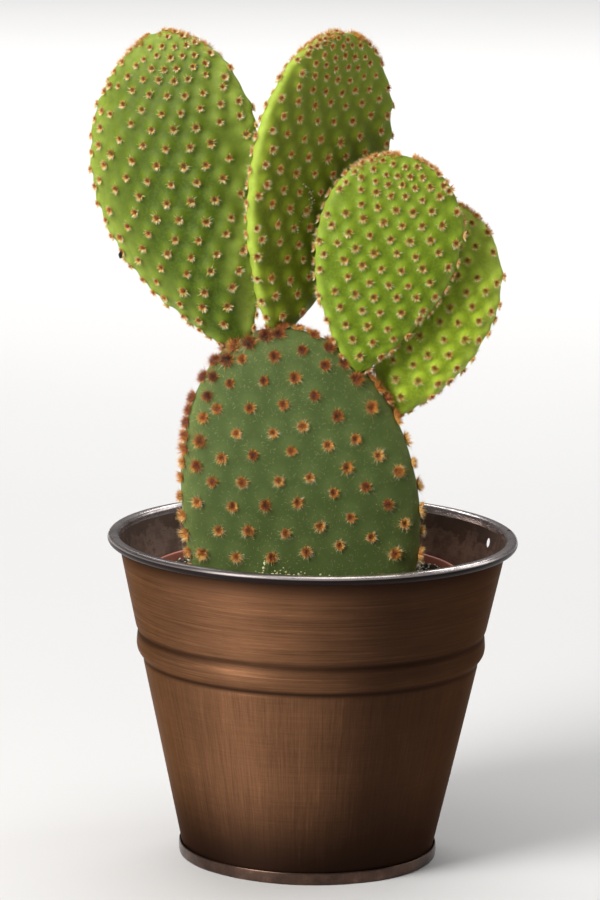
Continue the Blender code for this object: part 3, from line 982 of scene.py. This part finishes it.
def wall_r(z):
    """The wall's outer radius: a straight slope, with the rib and the groove above and below it."""
    rib = RIB_OUT * smoothstep(*RIB_UPPER, z) * smoothstep(*RIB_LOWER, z)
    grooves = sum(depth * math.exp(-(((z - middle) / width) ** 2)) for middle, width, depth in GROOVES)
    return WALL_FOOT_R + WALL_SLOPE * z + rib - grooves


def offset_line(path, distance):
    """The path moved sideways, to its left for a positive distance."""
    along = unit(np.gradient(path, axis=0))
    return path + np.stack([-along[:, 1], along[:, 0]], -1) * distance


def bucket_wall(copper, inner, rim):
    """The sheet from its curled rim, down the wall to the base, with a slight unevenness."""
    bead = (RIM_OUTER_R - BEAD_R, BUCKET_H - BEAD_R)
    curl_r = BEAD_R - SHEET / 2
    shoulder = (wall_r(bead[1]) - SHEET / 2 + curl_r, bead[1])
    curl = arc(bead, curl_r, BEAD_START, 90, 30) + arc(shoulder, curl_r, 90, 180, 12)
    spans = ((bead[1] - 1.0, 79.5, 10), (78.4, 60.4, 64), (59.0, SHEET + 0.3, 24))
    wall = [(wall_r(z) - SHEET / 2, z) for span in spans for z in np.linspace(*span)]
    path = np.array(curl + wall)
    outside = offset_line(path, SHEET / 2)
    inside = offset_line(path, -SHEET / 2)
    # From its curl the sheet's left side is the side that shows outside: turn it to run upwards.
    outline = np.concatenate([outside[::-1], inside])
    slots = [0] * len(wall) + [2] * len(curl) + [2] * len(curl) + [1] * len(wall)

    def warp(angle, z, r):
        soft = 0.10 * np.sin(2 * angle + 0.6) + 0.06 * np.sin(5 * angle + z * 0.05)
        return soft * smoothstep(2.0, 30.0, z)

    return turned_piece("bucket_wall_sheet", outline, [copper, inner, rim], slots, warp=warp)


def block(name, size, centre, turn):
    """A box to cut with, turned about the bucket's axis."""
    corners = np.array([[x, y, z] for x in (-0.5, 0.5) for y in (-0.5, 0.5) for z in (-0.5, 0.5)])
    points = corners * np.array(size) + np.array(centre)
    c, s = math.cos(math.radians(turn)), math.sin(math.radians(turn))
    points = points @ np.array([[c, s, 0], [-s, c, 0], [0, 0, 1]])
    faces = [(0, 1, 3, 2), (4, 6, 7, 5), (0, 4, 5, 1), (2, 3, 7, 6), (0, 2, 6, 4), (1, 5, 7, 3)]
    return add_mesh(name, points, faces, [], smooth=False)


def rod(name, radius, length, centre_r, z, turn):
    """A cutter that lies along a radius of the bucket."""
    bpy.ops.mesh.primitive_cylinder_add(vertices=40, radius=radius * MM, depth=length * MM)
    obj = bpy.context.object
    obj.name = name
    place = Matrix.Rotation(math.radians(turn), 4, "Z") @ Matrix.Translation((centre_r * MM, 0, z * MM))
    obj.matrix_world = place @ Matrix.Rotation(math.pi / 2, 4, "Y")
    return obj


def bucket(copper, inner, rim, foot):
    wall = bucket_wall(copper, inner, rim)
    notch = block("notch", (4.2, NOTCH_W, 4.5), (RIM_OUTER_R, 0.0, BUCKET_H - BEAD_R), NOTCH_ANGLE)
    cut_out(wall, notch)
    cut_out(wall, rod("hole", HOLE_D / 2, 6.0, wall_r(HOLE_Z), HOLE_Z, HOLE_ANGLE))
    wall.data.set_sharp_from_angle(angle=math.radians(45))
    ride_root(wall, "bucket_copper", "bucket_wall")

    fold = 0.35
    seat = wall_r(FOOT_H) + 0.3
    profile = [(0.0, 0.0), (FOOT_R - 1.2, 0.0)]
    profile += arc((FOOT_R - 0.7, 0.7), 0.7, -90, 0, 8)
    profile += [(FOOT_R + 0.05, 1.8), (FOOT_R + 0.05, 2.6)]
    profile += arc((FOOT_R - fold, FOOT_H - fold), fold, 0, 100, 8)
    profile += [(seat, FOOT_H - 0.4), (seat, SHEET), (0.0, SHEET)]
    slots = [1] * 2 + [0] * (len(profile) - 4) + [1] * 2

    def warp(angle, z, r):
        return np.where(r > 1.0, 0.07 * np.sin(7 * angle + 1.0) + 0.05 * np.sin(17 * angle), 0.0)

    base = turned_piece("bucket_base_pan", profile, [foot, inner], slots, warp=warp, closed=False)
    ride_root(base, "bucket_copper", "bucket_base")


def seam_lap(metal):
    """The wall's overlap down its inner side, a little crumpled where it meets the rim."""
    rng = np.random.default_rng(5)
    heights = np.concatenate([np.linspace(BUCKET_H - 0.9, 92.0, 14), np.linspace(89.0, 5.0, 40)])
    turns = np.radians(SEAM_ANGLE) + np.linspace(-0.5, 0.5, 9) * SEAM_W / 62.0
    loops = []
    for z in heights:
        crumple = 0.12 * smoothstep(95.0, BUCKET_H, z)
        r = wall_r(min(z, BUCKET_H - 2.0)) - SHEET
        outer = [(r + 0.05, turn) for turn in turns]
        inner = [(r - 0.35 + rng.normal(0, crumple), turn) for turn in turns[::-1]]
        loops.append([(a * math.cos(b), a * math.sin(b), z) for a, b in outer + inner])
    points = np.array(loops)
    count = points.shape[1]
    faces = grid_faces(len(heights), count)[:, ::-1].tolist()
    last = (len(heights) - 1) * count
    faces += [tuple(reversed(range(count))), tuple(range(last, last + count))]
    lap = add_mesh("bucket_seam_lap", points.reshape(-1, 3), faces, [metal])
    lap.data.set_sharp_from_angle(angle=math.radians(40))
    ride_root(lap, "bucket_copper")


def pot_r(z):
    share = (z - POT_FOOT_Z) / (POT_TOP_Z - POT_FOOT_Z)
    return POT_FOOT_R + (POT_RIM_R - POT_BAND_OUT - POT_FOOT_R) * share


def nursery_pot(plastic):
    floor_z = POT_FOOT_Z + POT_FLOOR
    band_z = POT_TOP_Z - POT_BAND_H
    lip = POT_WALL / 2
    profile = [(0.0, POT_FOOT_Z), (POT_FOOT_R - 1.0, POT_FOOT_Z), (pot_r(floor_z), floor_z)]
    profile += [(pot_r(z), z) for z in np.linspace(floor_z + 2, band_z - 1.3, 12)]
    profile += [(pot_r(band_z) + POT_BAND_OUT - 0.2, band_z - 0.2), (pot_r(band_z) + POT_BAND_OUT, band_z)]
    profile += arc((POT_RIM_R - lip, POT_TOP_Z - lip), lip, 0, 180, 12)
    profile += [(pot_r(z) - POT_WALL, z) for z in np.linspace(band_z, floor_z, 12)]
    profile += [(0.0, floor_z)]
    pot = turned_piece("nursery_pot_shell", profile, [plastic], [0] * len(profile), POT_X, closed=False)
    pot.data.set_sharp_from_angle(angle=math.radians(45))
    ride_root(pot, "pot_plastic", "nursery_pot")


# ---- soil


def soil_height(x, y):
    """The mounded top of the soil, with soft lumps."""
    reach = np.hypot(x - POT_X, y) / (POT_RIM_R - POT_WALL)
    mound = SOIL_MOUND * np.cos(np.pi / 2 * np.clip(reach, 0, 1)) ** 2
    lumps = 0.45 * np.sin(x * 0.9 + 1.3) * np.sin(y * 0.8 + 0.4) + 0.3 * np.sin(x * 2.1 + y * 1.7)
    return SOIL_EDGE_Z + mound + lumps


def soil_plug(material):
    """The body of soil: its flat underside, its side inside the pot, and its uneven top in rings."""
    floor_z = POT_FOOT_Z + POT_FLOOR + SOIL_GAP
    heights = (floor_z, POT_TOP_Z - POT_BAND_H, SOIL_EDGE_Z - 0.6)
    rings = [(0.0, floor_z)] + [(pot_r(z) - POT_WALL - SOIL_GAP, z) for z in heights]
    edge = POT_RIM_R - POT_WALL - SOIL_GAP
    rings += [(edge * (1 - k / SOIL_RINGS), None) for k in range(SOIL_RINGS + 1)]
    rows = []
    for r, z in rings:
        x, y = circle(r, POT_X)
        rows.append(np.stack([x, y, soil_height(x, y) if z is None else np.full_like(x, z)], -1))
    plug = add_mesh("soil_plug", np.vstack(rows), grid_faces(len(rows), TURNED_STEPS), [material])
    ride_root(plug, "potting_mix", "soil")


def crumb_shape(rng, flatness):
    """One angular crumb about 1 across: a rough ball of 42 points."""
    bpy.ops.mesh.primitive_ico_sphere_add(subdivisions=2, radius=0.5)
    obj = bpy.context.object
    points = np.array([vert.co for vert in obj.data.vertices])
    faces = [tuple(face.vertices) for face in obj.data.polygons]
    bpy.data.objects.remove(obj, do_unlink=True)
    for _ in range(5):
        axis = unit(rng.normal(size=3))
        cut = rng.uniform(0.28, 0.42)
        beyond = np.maximum(points @ axis - cut, 0.0)
        points = points - beyond[:, None] * axis * 0.9
    points = points * (1 + rng.normal(0, 0.04, (len(points), 1)))
    return points * np.array([1.0, rng.uniform(0.6, 1.0), flatness]), faces


def random_turn(rng):
    angle, axis = rng.uniform(0, math.tau), unit(rng.normal(size=3))
    return np.array(Matrix.Rotation(angle, 3, Vector(axis)))


def crumbs(name, rng, places, sizes, material, slot, flatness=0.7):
    """Many crumbs as one piece."""
    shapes = [crumb_shape(rng, flatness * rng.uniform(0.7, 1.2)) for _ in range(6)]
    points, faces, start = [], [], 0
    for k, (place, size) in enumerate(zip(places, sizes)):
        shape, shape_faces = shapes[k % len(shapes)]
        points.append(shape @ random_turn(rng) * size + place)
        faces += [tuple(corner + start for corner in face) for face in shape_faces]
        start += len(shape)
    obj = add_mesh(name, np.vstack(points), faces, [material])
    obj.data.set_sharp_from_angle(angle=math.radians(30))
    ride_root(obj, slot)


def on_soil(rng, count, lift):
    """Random places on the soil, clear of the old pad's foot."""
    radius = (POT_RIM_R - POT_WALL) * 0.97 * np.sqrt(rng.uniform(0, 1, count))
    angle = rng.uniform(0, math.tau, count)
    x, y = POT_X + radius * np.cos(angle), radius * np.sin(angle)
    clear = ~((np.abs(y) < 8.0) & (np.abs(x) < 36.0))
    x, y = x[clear], y[clear]
    return np.stack([x, y, soil_height(x, y) + lift], -1)


def soil(materials):
    rng = np.random.default_rng(31)
    soil_plug(materials["soil"])
    for name, count, lift, size, material, slot, flatness in (
        ("soil_crumbs", 1700, 0.1, (0.5, 2.0), "soil", "potting_mix", 0.7),
        ("bark_crumbs", 200, 0.1, (1.5, 4.0), "bark", "potting_mix", 0.4),
        ("perlite_grains", 1500, 0.5, (0.4, 1.6), "perlite", "mineral_grit", 0.7),
    ):
        places = on_soil(rng, count, lift)
        sizes = rng.uniform(*size, len(places))
        crumbs(name, rng, places, sizes, materials[material], slot, flatness)
    # Pale debris has collected where the old pad's front meets the soil.
    x = np.concatenate([rng.uniform(-27, -7, 150), rng.uniform(-30, 34, 60)])
    y = -9.4 - np.abs(rng.normal(0, 1.1, len(x)))
    z = soil_height(x, y) + np.abs(rng.normal(1.0, 0.8, len(x)))
    stalk = np.linspace(0, 1, 9)[:, None] * np.array([0.6, -0.3, 5.0]) + np.array([-15.6, -10.2, 92.0])
    places = np.vstack([np.stack([x, y, z], -1), stalk + rng.normal(0, 0.2, stalk.shape)])
    sizes = rng.uniform(0.45, 1.2, len(places))
    crumbs("pale_debris", rng, places, sizes, materials["debris"], "mineral_grit")


# ---- stage


def add_area(name, size, place, target, power, colour=(1.0, 1.0, 1.0)):
    light = bpy.data.lights.new(name, "AREA")
    light.shape = "RECTANGLE"
    light.size, light.size_y = size
    light.energy = power
    light.color = colour
    obj = bpy.data.objects.new(name, light)
    obj.location = place
    aim = Vector(target) - Vector(place)
    obj.rotation_euler = aim.to_track_quat("-Z", "Y").to_euler()
    bpy.context.scene.collection.objects.link(obj)


def stage():
    half = FLOOR_HALF
    corners = [(-half, -half, 0.0), (half, -half, 0.0), (half, half, 0.0), (-half, half, 0.0)]
    floor = add_mesh("floor", corners, [(0, 1, 2, 3)], [floor_material()], smooth=False)

    world = bpy.data.worlds.new("studio")
    world.use_nodes = True
    tree = world.node_tree
    fill(tree, tree.nodes["Background"], {"Color": (1.0, 1.0, 1.0, 1.0), "Strength": 0.11})
    bpy.context.scene.world = world
    middle = (0.0, 0.0, 0.13)
    add_area("key", (0.5, 1.0), (-0.82, -0.74, 0.74), middle, 23.5, (1.0, 0.985, 0.96))
    add_area("overhead", (1.3, 0.7), (0.05, -0.15, 1.45), middle, 6.0)
    add_area("side", (0.5, 0.9), (1.05, 0.45, 0.75), middle, 2.7)
    add_area("backdrop_light", (2.6, 1.4), (0.0, 1.8, 1.8), (0.0, 2.6, 0.0), 76.0)
    bpy.context.scene.view_settings.view_transform = "Standard"


def camera():
    distance, elevation, roll = 1.521, math.radians(10.81), math.radians(1.06)
    target = Vector((-0.00461, 0.0, 0.13086))
    back = Vector((0.0, -math.cos(elevation), math.sin(elevation)))
    data = bpy.data.cameras.new("camera")
    # The photo's focal length in pixels, on a frame 900 pixels high.
    data.sensor_width = 36.0
    data.lens = 4811 * 36 / 900
    obj = bpy.data.objects.new("camera", data)
    aim = (-back).to_track_quat("-Z", "Y").to_matrix().to_4x4()
    obj.matrix_world = Matrix.Translation(target + back * distance) @ aim @ Matrix.Rotation(roll, 4, "Z")
    bpy.context.scene.collection.objects.link(obj)
    bpy.context.scene.camera = obj


# ---- the plant


def main():
    for leftover in list(bpy.data.objects):
        if leftover not in [*frame["bodies"].values(), *frame["nodes"].values()]:
            bpy.data.objects.remove(leftover, do_unlink=True)
    camera()
    stage()
    glochid = bristle_material()
    skins = {key: skin_material(key + "_skin", *settings) for key, settings in SKINS.items()}
    old_pad("basal_pad", PADS["basal_pad"], skins["basal_pad"], glochid, 7)
    fine_hairs("basal_pad", PADS["basal_pad"], glochid, 8, 5000)
    for seed, key in enumerate(("left_pad", "middle_pad", "right_front_pad", "right_rear_pad"), 11):
        young_pad(key, PADS[key], skins[key], glochid, seed)

    copper = metal_material(
        "brushed_copper", (0.21, 0.098, 0.048), (0.022, 0.010, 0.006), 0.48, 0.85, outside=True
    )
    inner = metal_material("inner_metal", (0.33, 0.23, 0.18), (0.075, 0.046, 0.034), 0.46, 0.9)
    rim = metal_material(
        "rim_metal", (0.72, 0.64, 0.62), (0.011, 0.006, 0.006), 0.22, 0.95,
        dark_below=BUCKET_H - BEAD_R + 0.6,
    )
    foot = metal_material("foot_metal", (0.11, 0.065, 0.048), (0.022, 0.015, 0.013), 0.3, 0.9)
    bucket(copper, inner, rim, foot)
    seam_lap(inner)
    nursery_pot(plastic_material())
    soil(
        {
            "soil": crumb_material("dark_soil", (0.018, 0.013, 0.010), (0.09, 0.065, 0.042)),
            "bark": crumb_material("bark", (0.05, 0.026, 0.014), (0.13, 0.075, 0.04)),
            "perlite": crumb_material("perlite", (0.34, 0.32, 0.20), (0.82, 0.80, 0.66), 0.8),
            "debris": crumb_material("pale_debris", (0.42, 0.42, 0.18), (0.75, 0.70, 0.42), 0.8),
        }
    )
    scars(PADS["middle_pad"], 12, crumb_material("cork", (0.40, 0.38, 0.20), (0.62, 0.58, 0.38), 0.8))
    scraps(PADS["left_pad"], crumb_material("dry_peel", (0.006, 0.005, 0.004), (0.03, 0.022, 0.016), 0.8))
    root_bark = crumb_material("root_bark", (0.16, 0.10, 0.055), (0.32, 0.22, 0.13), 0.3)
    frame["nodes"]["roots"].data.materials.clear()
    frame["nodes"]["roots"].data.materials.append(root_bark)


main()
